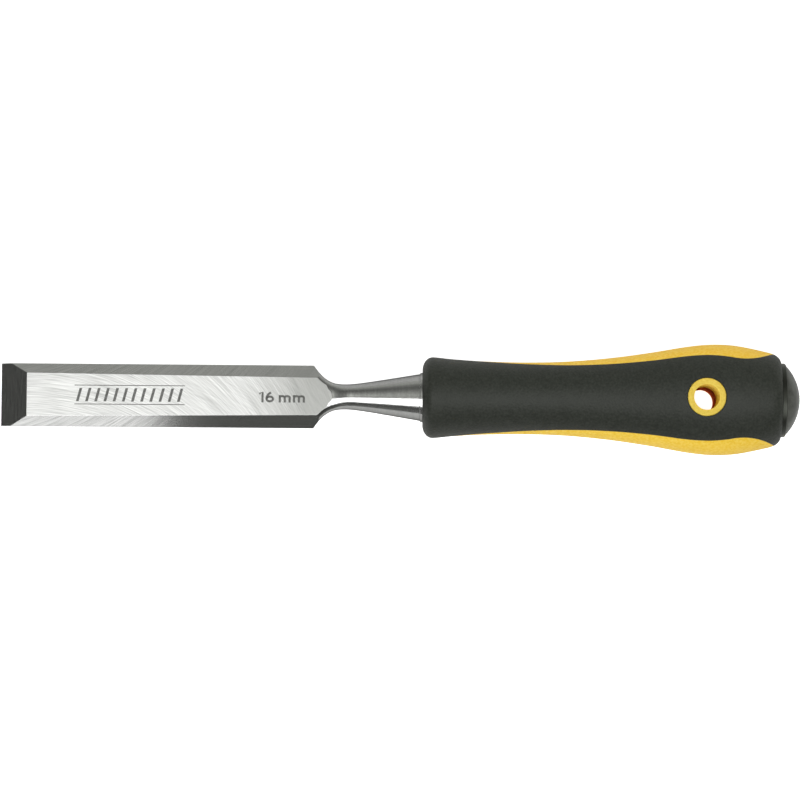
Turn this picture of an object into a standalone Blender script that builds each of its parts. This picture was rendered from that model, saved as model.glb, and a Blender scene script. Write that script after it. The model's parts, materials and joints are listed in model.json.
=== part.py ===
"""Bench chisel: a 16 mm bevel-edged blade in a two-component handle with a steel strike cap.

The tool is modelled along its own axis: +X runs from the cutting edge to the butt, +Z points out
of the bevelled face, and z = 0 is the axis of the neck and the handle. One empty carries every
piece and lays the tool on a bench, where the collar and the belly of the handle touch z = 0.
"""
import math

import bmesh
import bpy
from mathutils import Matrix, Vector

GAP = 0.0003                      # clearance between pieces that touch on the real tool

# Blade
BLADE_WIDTH = 0.0160
EDGE_X = -0.0004                  # cutting edge, ahead of the point that lengths are taken from
BLADE_BACK_Z = -0.0019            # flat back, below the axis
TIP_THICKNESS = 0.0031            # the blade thickens from the cutting edge ...
SHOULDER_THICKNESS = 0.00375      # ... to the shoulder
SIDE_LAND = 0.0012                # narrow upright side left under each side bevel
SIDE_BEVEL_ANGLE = math.radians(38)
PRIMARY_BEVEL_ANGLE = math.radians(25)
SHOULDER_X = 0.0793
FACET_END_X = 0.0840              # where the ground faces run out in a rounded point
FACET_TIP_RADIUS = 0.0019
FACET_TIP_SWEEP = 60              # degrees of that point on each side of the axis
BAR_START_X = -0.0020             # the bar that the blade is ground from
BAR_HEIGHT = 0.0080
SIDE_GRIND_OUTSIDE = 0.0020       # how far the side grinding starts outside the bar ...
SIDE_GRIND_INSIDE = 0.0060        # ... and reaches inside it

# Neck and bolster
NECK_X = 0.0873
NECK_RADIUS = 0.00322
FLARE_POWER = 2.65                # how late the neck opens out to the blade
FLARE_HALF_HEIGHT = 0.00235
FLARE_SQUARENESS = 0.5            # how boxy the section is at the shoulder, over an ellipse
FLARE_INSET = 0.00002             # keeps the flare just inside the bar's sides
NECK_ROUND_X = 0.0885             # from here on the section is a circle
BOLSTER_END_X = 0.1067
BOLSTER_SLOPE = 0.17
BOLSTER_EASE = 0.0030
LIP_LENGTH = 0.0005
LIP_HEIGHT = 0.0002
LIP_SLOPE = 0.0001                # length of the lip's rising front

# Tang
TANG_START_HALF = 0.0027
TANG_END_HALF = 0.0016
TANG_END_X = 0.1650
TANG_ROOT = 0.0030                # how deep the tang starts inside the bolster

# Handle
HANDLE_FRONT_X = BOLSTER_END_X + GAP
WAIST_X = 0.1335
HANDLE_END_X = 0.1977
HALF_WIDTHS = [                   # (x, half width) of the handle before its ends are rounded
    (0.1070, 0.01032), (0.1100, 0.01028), (0.1145, 0.00982), (0.1230, 0.00937),
    (WAIST_X, 0.00919), (0.1440, 0.00953), (0.1546, 0.01050), (0.1648, 0.01193),
    (0.1745, 0.01358), (0.1808, 0.01414), (0.1872, 0.01376), (0.1977, 0.01155),
]
DEPTH_RATIOS = [                  # (x, depth over width)
    (0.1070, 0.98), (WAIST_X, 0.98), (0.1808, 0.893), (0.1977, 0.965),
]
FRONT_ROUND = (0.0026, 0.0032)    # (length along the axis, depth towards it)
BUTT_ROUND = (0.0030, 0.0016)
GRIP_THICKNESS = 0.0016
CORE_FRONT_X = 0.1085

# Side windows, where the hard core shows between the soft panels
WINDOW_FRONT_X = 0.1130
WINDOW_WIDEST_X = 0.1860
WINDOW_END_X = 0.1963
WINDOW_HALF_HEIGHT = 0.0085
WINDOW_POWER = 0.735
WINDOW_TIP_HALF = 0.0001          # half height left at its two ends

# Hang hole
HOLE_X = 0.1784
HOLE_RADIUS = 0.00322
BOSS_RADIUS = 0.00481

# Strike cap
FLANGE_X = HANDLE_END_X + GAP
FLANGE_TOP_X = 0.1991
FLANGE_RADIUS = 0.0094
DOME_BASE_RADIUS = 0.00885
DOME_APEX_X = 0.2028
STEM_RADIUS = 0.0038
STEM_GROOVE_RADIUS = 0.0029
STEM_END_X = 0.1880
STEM_GROOVE_X = (0.1902, 0.1916)
STEM_GROOVE_FLANK = 0.0005

REACH = 0.0200                    # how far cutters reach past the tool
OVERLAP = 0.0010                  # how far shapes that are joined run into each other
BLADE_HALF = BLADE_WIDTH / 2

# How finely round shapes are divided
OUTER_SIDES = 32
INNER_SIDES = 24
SHANK_SIDES = 28
HOLE_SIDES = 32
TURNED_STEPS = 32
FACET_TIP_STEPS = 8
FLARE_STATIONS = 12
CONE_STATIONS = 10
HANDLE_STATIONS = 22
CORE_STATIONS = 19
END_ANGLES = (0, 25, 45, 65)      # degrees round each rounded end of the handle
WINDOW_FRONT_STEPS = 12
WINDOW_BACK_STEPS = 6
WINDOW_CROWDING = 1.6             # crowds the window's stations towards its point
DOME_STEPS = 7

# Search for the angle at which the tool rests
LEAN_LIMIT = math.radians(10)
LEAN_HALVINGS = 40
LEAN_STATIONS = 200


# ---------------------------------------------------------------- scene and objects

def clear_scene():
    for obj in list(bpy.data.objects):
        bpy.data.objects.remove(obj, do_unlink=True)


def add_collection(name):
    collection = bpy.data.collections.new(name)
    bpy.context.scene.collection.children.link(collection)
    return collection


def add_root(name, collection):
    root = bpy.data.objects.new(name, None)
    collection.objects.link(root)
    return root


def add_piece(name, mesh, material):
    piece = bpy.data.objects.new(name, mesh)
    piece.parent = ROOT
    PIECES.objects.link(piece)
    mesh.materials.append(material)
    return piece


def add_cutter(name, mesh):
    cutter = bpy.data.objects.new(name, mesh)
    cutter.parent = ROOT
    cutter.hide_render = True
    cutter.display_type = 'WIRE'
    CUTTERS.objects.link(cutter)
    return cutter


def boolean(piece, cutter, operation):
    modifier = piece.modifiers.new(cutter.name, 'BOOLEAN')
    modifier.solver = 'EXACT'
    modifier.operation = operation
    modifier.object = cutter


def shade(mesh, angle=math.radians(30)):
    mesh.shade_smooth()
    mesh.set_sharp_from_angle(angle=angle)


def make_material(name, colour, roughness, metallic):
    material = bpy.data.materials.new(name)
    material.use_nodes = True
    shader = material.node_tree.nodes["Principled BSDF"]
    shader.inputs["Base Color"].default_value = (*colour, 1.0)
    shader.inputs["Roughness"].default_value = roughness
    shader.inputs["Metallic"].default_value = metallic
    return material


# ---------------------------------------------------------------- shape helpers

def finish_mesh(name, bm):
    bmesh.ops.recalc_face_normals(bm, faces=bm.faces)
    mesh = bpy.data.meshes.new(name)
    bm.to_mesh(mesh)
    bm.free()
    shade(mesh)
    return mesh


def loft(name, stations, section):
    """Skin the closed rings of (y, z) points that section(x) gives at each station."""
    bm = bmesh.new()
    rings = []
    for x in stations:
        rings.append([bm.verts.new((x, y, z)) for y, z in section(x)])
    for near, far in zip(rings, rings[1:]):
        for i in range(len(near)):
            j = (i + 1) % len(near)
            bm.faces.new((near[i], near[j], far[j], far[i]))
    bm.faces.new(rings[0])
    bm.faces.new(rings[-1])
    return finish_mesh(name, bm)


def prism(name, outline, direction):
    """Extrude a flat outline of (x, y, z) points along a direction."""
    bm = bmesh.new()
    face = bm.faces.new([bm.verts.new(point) for point in outline])
    swept = bmesh.ops.extrude_face_region(bm, geom=[face])
    moved = [item for item in swept["geom"] if isinstance(item, bmesh.types.BMVert)]
    bmesh.ops.translate(bm, verts=moved, vec=direction)
    return finish_mesh(name, bm)


def turned(obj, steps=TURNED_STEPS):
    """Turn the profile mesh of an object about the tool's axis."""
    obj.rotation_euler = (0, math.pi / 2, 0)
    screw = obj.modifiers.new("Turned", 'SCREW')
    screw.steps = steps
    screw.render_steps = steps
    screw.use_merge_vertices = True
    screw.merge_threshold = 0.00001
    screw.use_smooth_shade = True


def profile_mesh(name, points):
    """Join (radius, x) points, from the butt end down the outer side, into a wire profile."""
    mesh = bpy.data.meshes.new(name)
    edges = [(i, i + 1) for i in range(len(points) - 1)]
    mesh.from_pydata([(radius, 0, x) for radius, x in points], edges, [])
    return mesh


def oval(half_width, half_height, sides, power=2.0):
    """Points of a superellipse; power 2 is an ellipse and a higher one is boxier."""
    ring = []
    for i in range(sides):
        angle = 2 * math.pi * i / sides
        c, s = math.cos(angle), math.sin(angle)
        y = half_width * math.copysign(abs(c) ** (2 / power), c)
        z = half_height * math.copysign(abs(s) ** (2 / power), s)
        ring.append((y, z))
    return ring


def smoothstep(t):
    t = min(max(t, 0.0), 1.0)
    return t * t * (3 - 2 * t)


def spread(start, end, count):
    return [start + (end - start) * i / (count - 1) for i in range(count)]


def smooth_curve(points, x):
    """Read a cubic curve that runs smoothly through (x, value) points."""
    xs = [point[0] for point in points]
    values = [point[1] for point in points]
    last = len(points) - 1
    i = 0
    while i < last - 1 and x > xs[i + 1]:
        i += 1

    def slope(k):
        before, after = max(k - 1, 0), min(k + 1, last)
        return (values[after] - values[before]) / (xs[after] - xs[before])

    width = xs[i + 1] - xs[i]
    t = (x - xs[i]) / width
    rise_0 = slope(i) * width
    rise_1 = slope(i + 1) * width
    return ((2 * t ** 3 - 3 * t ** 2 + 1) * values[i] + (t ** 3 - 2 * t ** 2 + t) * rise_0
            + (3 * t ** 2 - 2 * t ** 3) * values[i + 1] + (t ** 3 - t ** 2) * rise_1)


# ---------------------------------------------------------------- blade

def shank_half_width(x):
    """Half width of the shank: a flare behind the shoulder, the neck, then the bolster's cone."""
    if x < NECK_X:
        reach = (NECK_X - x) / (NECK_X - SHOULDER_X)
        flare = NECK_RADIUS + (BLADE_HALF - NECK_RADIUS) * reach ** FLARE_POWER
        return min(flare, BLADE_HALF - FLARE_INSET)
    along = x - NECK_X
    cone = NECK_RADIUS + BOLSTER_SLOPE * (math.hypot(along, BOLSTER_EASE) - BOLSTER_EASE)
    if x > BOLSTER_END_X - LIP_LENGTH:
        cone += LIP_HEIGHT
    return cone


def shank_section(x):
    half_width = shank_half_width(x)
    t = smoothstep((x - FACET_END_X) / (NECK_ROUND_X - FACET_END_X))
    half_height = FLARE_HALF_HEIGHT + (half_width - FLARE_HALF_HEIGHT) * t
    nearness = min(max((FACET_END_X - x) / (FACET_END_X - SHOULDER_X), 0.0), 1.0)
    return oval(half_width, half_height, SHANK_SIDES, 2.0 + FLARE_SQUARENESS * nearness)


def grinding_outline():
    """Plan of a ground face: wider than the blade, closing to a rounded point on the neck."""
    centre_x = FACET_END_X - FACET_TIP_RADIUS
    outline = [(-REACH, -REACH, 0), (SHOULDER_X, -REACH / 2, 0)]
    for degrees in spread(-FACET_TIP_SWEEP, FACET_TIP_SWEEP, FACET_TIP_STEPS + 1):
        angle = math.radians(degrees)
        x = centre_x + FACET_TIP_RADIUS * math.cos(angle)
        outline.append((x, FACET_TIP_RADIUS * math.sin(angle), 0))
    outline += [(SHOULDER_X, REACH / 2, 0), (-REACH, REACH, 0)]
    return outline


def face_grind():
    """Removes everything above the bevelled face, which rises slightly to the shoulder."""
    cutter = add_cutter("face_grind", prism("face_grind", grinding_outline(), (0, 0, REACH)))
    cutter.location.z = BLADE_BACK_Z + TIP_THICKNESS
    cutter.rotation_euler.y = -math.atan((SHOULDER_THICKNESS - TIP_THICKNESS) / SHOULDER_X)
    return cutter


def back_grind():
    """Removes everything below the flat back."""
    outline = [(x, -y, z) for x, y, z in grinding_outline()]
    cutter = add_cutter("back_grind", prism("back_grind", outline, (0, 0, -REACH)))
    cutter.location.z = BLADE_BACK_Z
    return cutter


def side_grind(side):
    """Removes one long edge above its side bevel; side is +1 or -1."""
    slope = math.tan(SIDE_BEVEL_ANGLE)
    land_top = BLADE_BACK_Z + SIDE_LAND
    outside = side * (BLADE_HALF + SIDE_GRIND_OUTSIDE)
    inside = side * (BLADE_HALF - SIDE_GRIND_INSIDE)
    low = land_top - SIDE_GRIND_OUTSIDE * slope
    high = land_top + SIDE_GRIND_INSIDE * slope
    outline = [(-REACH, outside, low), (-REACH, inside, high), (-REACH, outside, high)]
    name = "side_grind_left" if side > 0 else "side_grind_right"
    return add_cutter(name, prism(name, outline, (REACH + FACET_END_X - OVERLAP, 0, 0)))


def primary_grind():
    """Removes everything above the bevel that forms the cutting edge."""
    slope = math.tan(PRIMARY_BEVEL_ANGLE)
    outline = [
        (EDGE_X - REACH, -REACH, BLADE_BACK_Z - REACH * slope),
        (EDGE_X + REACH, -REACH, BLADE_BACK_Z + REACH * slope),
        (EDGE_X - REACH, -REACH, BLADE_BACK_Z + REACH * slope),
    ]
    return add_cutter("primary_grind", prism("primary_grind", outline, (0, 2 * REACH, 0)))


def add_tang(name, start_x, clearance):
    """Square tapered bar on the axis, from start_x to the tang's end."""
    length = TANG_END_X + clearance - start_x
    bm = bmesh.new()
    bmesh.ops.create_cone(
        bm, cap_ends=True, segments=4, depth=length,
        radius1=(TANG_START_HALF + clearance) * math.sqrt(2),
        radius2=(TANG_END_HALF + clearance) * math.sqrt(2))
    bmesh.ops.rotate(bm, verts=bm.verts, matrix=Matrix.Rotation(math.radians(45), 3, 'Z'))
    tang = add_cutter(name, finish_mesh(name, bm))
    tang.location.x = start_x + length / 2
    tang.rotation_euler.y = math.pi / 2
    return tang


def make_blade(material):
    """One forging: bar, flared shoulder, neck, bolster and tang, with the blade's faces ground."""
    bm = bmesh.new()
    bmesh.ops.create_cube(bm, size=1.0)
    bmesh.ops.scale(bm, verts=bm.verts, vec=(SHOULDER_X - BAR_START_X, BLADE_WIDTH, BAR_HEIGHT))
    bmesh.ops.translate(bm, verts=bm.verts, vec=((SHOULDER_X + BAR_START_X) / 2, 0, 0))
    blade = add_piece("blade", finish_mesh("blade", bm), material)

    flare = spread(SHOULDER_X, NECK_X, FLARE_STATIONS)
    cone = spread(NECK_ROUND_X, BOLSTER_END_X - LIP_LENGTH, CONE_STATIONS)
    lip = [BOLSTER_END_X - LIP_LENGTH + LIP_SLOPE, BOLSTER_END_X]
    shank = loft("shank", [SHOULDER_X - OVERLAP] + flare + cone + lip, shank_section)
    boolean(blade, add_cutter("shank", shank), 'UNION')
    boolean(blade, add_tang("tang", BOLSTER_END_X - TANG_ROOT, 0.0), 'UNION')
    for cutter in (face_grind(), back_grind(), side_grind(1), side_grind(-1), primary_grind()):
        boolean(blade, cutter, 'DIFFERENCE')
    return blade


# ---------------------------------------------------------------- handle

def end_rounding(distance, size):
    """How far a rounded end lies inside the handle's side, at a distance from that end."""
    length, depth = size
    along = min(max(1 - distance / length, 0.0), 1.0)
    return depth * (1 - math.sqrt(1 - along * along))


def handle_half_sizes(x, inset=0.0):
    """Half width and half depth of the handle at x, moved inwards by inset."""
    width = smooth_curve(HALF_WIDTHS, x)
    depth = width * smooth_curve(DEPTH_RATIOS, x)
    rounding = end_rounding(x - HANDLE_FRONT_X, FRONT_ROUND) + end_rounding(HANDLE_END_X - x, BUTT_ROUND)
    return width - rounding - inset, depth - rounding - inset


def envelope_mesh(name):
    """Outer shape of the whole handle."""
    rises = [1 - math.cos(math.radians(angle)) for angle in END_ANGLES]
    front = [HANDLE_FRONT_X + FRONT_ROUND[0] * rise for rise in rises]
    middle = spread(HANDLE_FRONT_X + FRONT_ROUND[0], HANDLE_END_X - BUTT_ROUND[0], HANDLE_STATIONS)
    butt = [HANDLE_END_X - BUTT_ROUND[0] * rise for rise in reversed(rises)]

    def section(x):
        half_width, half_depth = handle_half_sizes(x)
        return oval(half_width, half_depth, OUTER_SIDES)

    return loft(name, front + middle + butt, section)


def inner_mesh(name, clearance):
    """The moulding under the soft grip, grown by a clearance."""
    stations = spread(CORE_FRONT_X, HANDLE_END_X, CORE_STATIONS)
    stations[0] -= clearance
    stations[-1] += clearance

    def section(x):
        half_width, half_depth = handle_half_sizes(x, GRIP_THICKNESS + GAP - clearance)
        return oval(half_width, half_depth, INNER_SIDES)

    return loft(name, stations, section)


def window_half_height(x):
    """Half height of a side window at x: a leaf, pointed in front and round behind."""
    if x < WINDOW_WIDEST_X:
        along = (x - WINDOW_FRONT_X) / (WINDOW_WIDEST_X - WINDOW_FRONT_X)
        return WINDOW_HALF_HEIGHT * max(along, 0.0) ** WINDOW_POWER
    along = (x - WINDOW_WIDEST_X) / (WINDOW_END_X - WINDOW_WIDEST_X)
    return WINDOW_HALF_HEIGHT * math.sqrt(max(1 - along * along, 0.0))


def window_mesh(name, clearance):
    """Both side windows as one slab across the handle, grown by a clearance."""
    front_length = WINDOW_WIDEST_X - WINDOW_FRONT_X
    back_length = WINDOW_END_X - WINDOW_WIDEST_X
    crowded = [(i / WINDOW_FRONT_STEPS) ** WINDOW_CROWDING for i in range(WINDOW_FRONT_STEPS)]
    turns = spread(0, math.pi / 2, WINDOW_BACK_STEPS + 1)
    stations = [WINDOW_FRONT_X + front_length * part for part in crowded]
    stations += [WINDOW_WIDEST_X + back_length * math.sin(turn) for turn in turns]
    upper = [(x, window_half_height(x) + clearance) for x in stations]
    upper[0] = (WINDOW_FRONT_X - clearance, WINDOW_TIP_HALF + clearance)
    upper[-1] = (WINDOW_END_X + clearance, WINDOW_TIP_HALF + clearance)
    outline = [(x, -REACH, z) for x, z in upper] + [(x, -REACH, -z) for x, z in reversed(upper)]
    return prism(name, outline, (0, 2 * REACH, 0))


def add_upright_cylinder(name, radius):
    """Cylinder through the handle along z, at the hang hole."""
    bm = bmesh.new()
    bmesh.ops.create_cone(
        bm, cap_ends=True, segments=HOLE_SIDES, radius1=radius, radius2=radius, depth=2 * REACH)
    cylinder = add_cutter(name, finish_mesh(name, bm))
    cylinder.location.x = HOLE_X
    return cylinder


def stem_profile(clearance):
    """(radius, x) points of the cap's anchoring stem, from its root to its end."""
    groove_start, groove_end = STEM_GROOVE_X
    radius = STEM_RADIUS + clearance
    groove = STEM_GROOVE_RADIUS + clearance
    return [
        (radius, groove_end - clearance + STEM_GROOVE_FLANK),
        (groove, groove_end - clearance),
        (groove, groove_start + clearance),
        (radius, groove_start + clearance - STEM_GROOVE_FLANK),
        (radius, STEM_END_X - clearance),
        (0, STEM_END_X - clearance),
    ]


def make_handle_core(material):
    """Hard plastic body: the moulding under the grip, its two side pads and the hang hole's boss."""
    core = add_piece("handle_core", window_mesh("handle_core", 0.0), material)
    boolean(core, add_upright_cylinder("hole_boss", BOSS_RADIUS), 'UNION')
    boolean(core, add_cutter("handle_shape", envelope_mesh("handle_shape")), 'INTERSECT')
    boolean(core, add_cutter("core_body", inner_mesh("core_body", 0.0)), 'UNION')
    boolean(core, add_upright_cylinder("hang_hole", HOLE_RADIUS), 'DIFFERENCE')
    boolean(core, bpy.data.objects["tang_pocket"], 'DIFFERENCE')

    mouth_x = HANDLE_END_X + OVERLAP
    profile = [(0, mouth_x), (STEM_RADIUS + GAP, mouth_x)] + stem_profile(GAP)
    pocket = add_cutter("stem_pocket", profile_mesh("stem_pocket", profile))
    turned(pocket, INNER_SIDES)
    boolean(core, pocket, 'DIFFERENCE')
    return core


def make_soft_grip(material):
    """Soft overmould: front collar, upper and lower panels, and the rim around the butt."""
    grip = add_piece("soft_grip", envelope_mesh("soft_grip"), material)
    boolean(grip, add_cutter("grip_cavity", inner_mesh("grip_cavity", GAP)), 'DIFFERENCE')
    boolean(grip, add_cutter("grip_windows", window_mesh("grip_windows", GAP)), 'DIFFERENCE')
    boolean(grip, add_upright_cylinder("boss_clearance", BOSS_RADIUS + GAP), 'DIFFERENCE')
    boolean(grip, bpy.data.objects["tang_pocket"], 'DIFFERENCE')
    return grip


# ---------------------------------------------------------------- strike cap

def make_strike_cap(material):
    """Turned steel cap: a domed face on a flange, held by a grooved stem in the core."""
    rise = DOME_APEX_X - FLANGE_TOP_X
    dome_radius = (DOME_BASE_RADIUS ** 2 + rise ** 2) / (2 * rise)
    centre_x = DOME_APEX_X - dome_radius
    half_angle = math.asin(DOME_BASE_RADIUS / dome_radius)
    points = []
    for angle in spread(0, half_angle, DOME_STEPS + 1):
        points.append((dome_radius * math.sin(angle), centre_x + dome_radius * math.cos(angle)))
    points += [
        (FLANGE_RADIUS, FLANGE_TOP_X),
        (FLANGE_RADIUS, FLANGE_X),
        (STEM_RADIUS, FLANGE_X),
    ]
    cap = add_piece("strike_cap", profile_mesh("strike_cap", points + stem_profile(0.0)), material)
    turned(cap)
    return cap


# ---------------------------------------------------------------- assembly

def world_corners(pieces):
    """Every vertex of the finished pieces, in world space."""
    bpy.context.view_layer.update()
    depsgraph = bpy.context.evaluated_depsgraph_get()
    corners = []
    for piece in pieces:
        shape = piece.evaluated_get(depsgraph)
        corners += [shape.matrix_world @ vertex.co for vertex in shape.data.vertices]
    return corners


def lowest_point(stations, lean):
    """Height of the handle's underside over some stations, with the butt raised by lean."""
    return min(x * math.sin(lean) - handle_half_sizes(x)[1] * math.cos(lean) for x in stations)


def resting_lean():
    """Angle at which the collar and the belly of the handle are equally low."""
    collar = spread(HANDLE_FRONT_X, WAIST_X, LEAN_STATIONS)
    belly = spread(WAIST_X, HANDLE_END_X, LEAN_STATIONS)
    low, high = 0.0, LEAN_LIMIT
    for _ in range(LEAN_HALVINGS):
        lean = (low + high) / 2
        if lowest_point(belly, lean) < lowest_point(collar, lean):
            low = lean
        else:
            high = lean
    return lean


def lay_on_bench(pieces):
    """Lean the tool so that it lies on its handle, then centre it over the origin on z = 0."""
    ROOT.rotation_euler.y = -resting_lean()
    corners = world_corners(pieces)
    low = Vector([min(corner[axis] for corner in corners) for axis in range(3)])
    high = Vector([max(corner[axis] for corner in corners) for axis in range(3)])
    ROOT.location = (-(low.x + high.x) / 2, -(low.y + high.y) / 2, -low.z)
    bpy.context.view_layer.update()


clear_scene()
PIECES = add_collection("bench_chisel")
CUTTERS = add_collection("cutters")
ROOT = add_root("bench_chisel_axis", PIECES)

steel = make_material("ground_steel", (0.58, 0.58, 0.57), 0.28, 1.0)
yellow = make_material("yellow_plastic", (0.80, 0.50, 0.075), 0.38, 0.0)
rubber = make_material("grey_rubber", (0.046, 0.049, 0.043), 0.62, 0.0)
dark_steel = make_material("dark_steel", (0.11, 0.11, 0.10), 0.34, 1.0)

add_tang("tang_pocket", HANDLE_FRONT_X - OVERLAP, GAP)
lay_on_bench([
    make_blade(steel),
    make_handle_core(yellow),
    make_soft_grip(rubber),
    make_strike_cap(dark_steel),
])
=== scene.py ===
"""Looks of the bench chisel: ground steel blade, yellow core, grey soft grip and dark strike cap.

Every piece is built in the tool's own axes, +X from the cutting edge to the butt and +Z out of the
bevelled face, and placed by TOOL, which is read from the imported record. Lengths are in metres.
"""
import json
import math

import bmesh
import bpy
from mathutils import Matrix, Vector


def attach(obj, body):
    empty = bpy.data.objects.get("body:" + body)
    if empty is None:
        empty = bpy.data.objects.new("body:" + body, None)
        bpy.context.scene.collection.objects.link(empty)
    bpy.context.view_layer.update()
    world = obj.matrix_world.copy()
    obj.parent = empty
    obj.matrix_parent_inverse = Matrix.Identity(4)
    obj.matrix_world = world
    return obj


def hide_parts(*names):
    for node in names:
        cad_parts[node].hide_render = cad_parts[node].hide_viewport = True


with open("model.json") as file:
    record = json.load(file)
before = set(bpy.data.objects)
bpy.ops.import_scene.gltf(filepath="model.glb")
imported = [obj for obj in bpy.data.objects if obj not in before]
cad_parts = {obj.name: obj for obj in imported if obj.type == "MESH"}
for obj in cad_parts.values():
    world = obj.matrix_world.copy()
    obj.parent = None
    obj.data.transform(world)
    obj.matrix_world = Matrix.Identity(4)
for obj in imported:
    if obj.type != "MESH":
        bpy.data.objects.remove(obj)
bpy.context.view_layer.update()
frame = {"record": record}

# Blade, as the CAD has it
BLADE_WIDTH = 0.0160
EDGE_X = -0.0004                  # cutting edge, ahead of the point that lengths are taken from
BLADE_BACK_Z = -0.0019
TIP_THICKNESS = 0.0031
SHOULDER_THICKNESS = 0.00375
SIDE_LAND = 0.0012
SIDE_BEVEL_ANGLE = math.radians(38)
PRIMARY_BEVEL_ANGLE = math.radians(25)
SHOULDER_X = 0.0793
FACET_END_X = 0.0840
FACET_TIP_RADIUS = 0.0019
BACK_MOUNT_X = 0.0400             # where the record's mount sits on the blade's back
BAR_START_X = -0.0020             # the bar that the blade is ground from
BAR_HEIGHT = 0.0080

# Neck, bolster and tang
NECK_X = 0.0873
NECK_RADIUS = 0.00322
FLARE_POWER = 2.65
FLARE_HALF_HEIGHT = 0.00235
FLARE_BOXINESS = 0.5              # how much boxier than an ellipse the flare's section is in front
NECK_ROUND_X = 0.0885
BOLSTER_END_X = 0.1067
BOLSTER_SLOPE = 0.17
BOLSTER_EASE = 0.0030
LIP_LENGTH = 0.0005
LIP_HEIGHT = 0.0002
LIP_RISE = 0.0001                 # length over which the lip rises
TANG_START_X = BOLSTER_END_X - 0.0030
TANG_START_HALF = 0.0027
TANG_END_HALF = 0.0016
TANG_END_X = 0.1650

# Handle
HANDLE_FRONT_X = 0.1069
WAIST_X = 0.1335
HANDLE_END_X = 0.1978
HALF_WIDTHS = [                   # (x, half width) of the handle before its ends are rounded
    (0.1070, 0.01032), (0.1100, 0.01028), (0.1145, 0.00982), (0.1230, 0.00937),
    (WAIST_X, 0.00919), (0.1440, 0.00953), (0.1546, 0.01050), (0.1648, 0.01193),
    (0.1745, 0.01358), (0.1808, 0.01414), (0.1872, 0.01376), (0.1977, 0.01155),
]
DEPTH_RATIOS = [                  # (x, depth over width)
    (0.1070, 0.98), (WAIST_X, 0.98), (0.1808, 0.893), (0.1977, 0.965),
]
FRONT_ROUND = (0.0026, 0.0032)
BUTT_ROUND = (0.0030, 0.0016)
GRIP_THICKNESS = 0.0016
CORE_FRONT_X = 0.1085
CORE_END_X = 0.1975
SEAM = 0.00010                    # fine groove between the two mouldings
PAD_INSET = 0.00005               # how far the side pads lie under the grip's surface
CAVITY_OVERRUN = 0.0010           # how far the grip's cavity runs on through the butt

WINDOW_FRONT_X = 0.1130
WINDOW_WIDEST_X = 0.1860
WINDOW_END_X = 0.1963
WINDOW_HALF_HEIGHT = 0.0085
WINDOW_POWER = 0.735

HOLE_X = 0.1784
HOLE_RADIUS = 0.00322
BOSS_RADIUS = 0.00481
SLEEVE_BITE = 0.0003              # how far the sleeve's outer wall reaches into the core
SLEEVE_SINK = 0.0010              # how far under the handle's surface that wall starts
SLEEVE_STRAIGHT = 0.6             # part of the handle's depth over which that wall is straight
TOUCH = 0.00002                   # what is left between faces that touch
BEAD_DROP = 0.0005                # how far the ring's crest stands over its own edges
BEAD_RISE = 0.00010               # how far the ring's crest stands over the grip

# Strike cap
FLANGE_TOP_X = 0.1991
FLANGE_RADIUS = 0.0094
FLANGE_CHAMFER = 0.00025
DOME_BASE_RADIUS = 0.00885
DOME_STEP = 0.00012
DOME_APEX_X = 0.2028
STEM_RADIUS = 0.0038
STEM_END_X = 0.1880

# Marks on the blade's face
INK_HEIGHT = 0.00001              # how far the etching stands over the face
INK_DEPTH = 0.00004
SIZE_MARK_X = 0.06548
SIZE_MARK_Y = -0.00165
SIZE_STROKE = 0.00057
FIGURE_HEIGHT = 0.0029
FIGURE_STEP = 0.0016              # from the start of the figure 1 to that of the 6
LETTER_HEIGHT = 0.0019
LETTER_STEP = 0.0036              # from the start of one letter to the next
HUMP_WIDTH = 0.00125              # of a letter m
BAND_X = (0.0185, 0.0465)
BAND_HALF_HEIGHT = 0.0017
BAND_BARS = 12
BAR_HALF_WIDTH = 0.00035
BAR_SLANT = 0.00045               # how far a bar's ends are shifted from its middle
RULE_GAP = 0.0007
RULE_HALF_WIDTH = 0.0001

# Camera, set in the tool's own axes
CAMERA_DISTANCE = 1.0
VIEW_WIDTH = 0.2035               # width of the view at the tool's axis
CAMERA_TILT = math.radians(3.7)   # from square on, towards the right side of the blade
CAMERA_ROLL = math.radians(0.46)
AIM_OFFSET = (0.0002, 0.00066)    # how far right of and above the view's middle the tool lies
SENSOR_WIDTH = 36.0

# Studio
FLOOR_Z = -0.0002
FLOOR_SIZE = 4.0
FLOOR_GLOW = 0.97
SKY = [                           # (height of the direction, brightness) from horizon to overhead
    (0.0, 0.70), (0.24, 0.58), (0.45, 0.30), (0.643, 0.21), (0.80, 0.38), (0.90, 0.64),
    (0.97, 1.05), (1.0, 1.22),
]
SKY_TINT = (0.985, 1.0, 0.945)
SKY_SIDES = [                     # (axis, start, end, brightness before start) of a darker side
    ("Y", -0.25, 0.15, 0.30), ("X", -0.8, -0.3, 0.45),
]

REACH = 0.0200                    # how far cutters reach past the tool
OVERLAP = 0.0010                  # how far parts of one forging reach into each other
BLADE_HALF = BLADE_WIDTH / 2
FACE_TAPER = math.atan((SHOULDER_THICKNESS - TIP_THICKNESS) / SHOULDER_X)

# How finely round shapes are divided
HANDLE_SIDES = 160
HANDLE_STATIONS = 150
CORE_SIDES = 64
CORE_STATIONS = 60
SHANK_SIDES = 112
FLARE_STATIONS = 56
CONE_STATIONS = 60
WINDOW_STEPS = 60
HOLE_SIDES = 96
RING_SIDES = 128
BEAD_STEPS = 16
WALL_STEPS = 20
CAP_SIDES = 128
DOME_STEPS = 32


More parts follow.
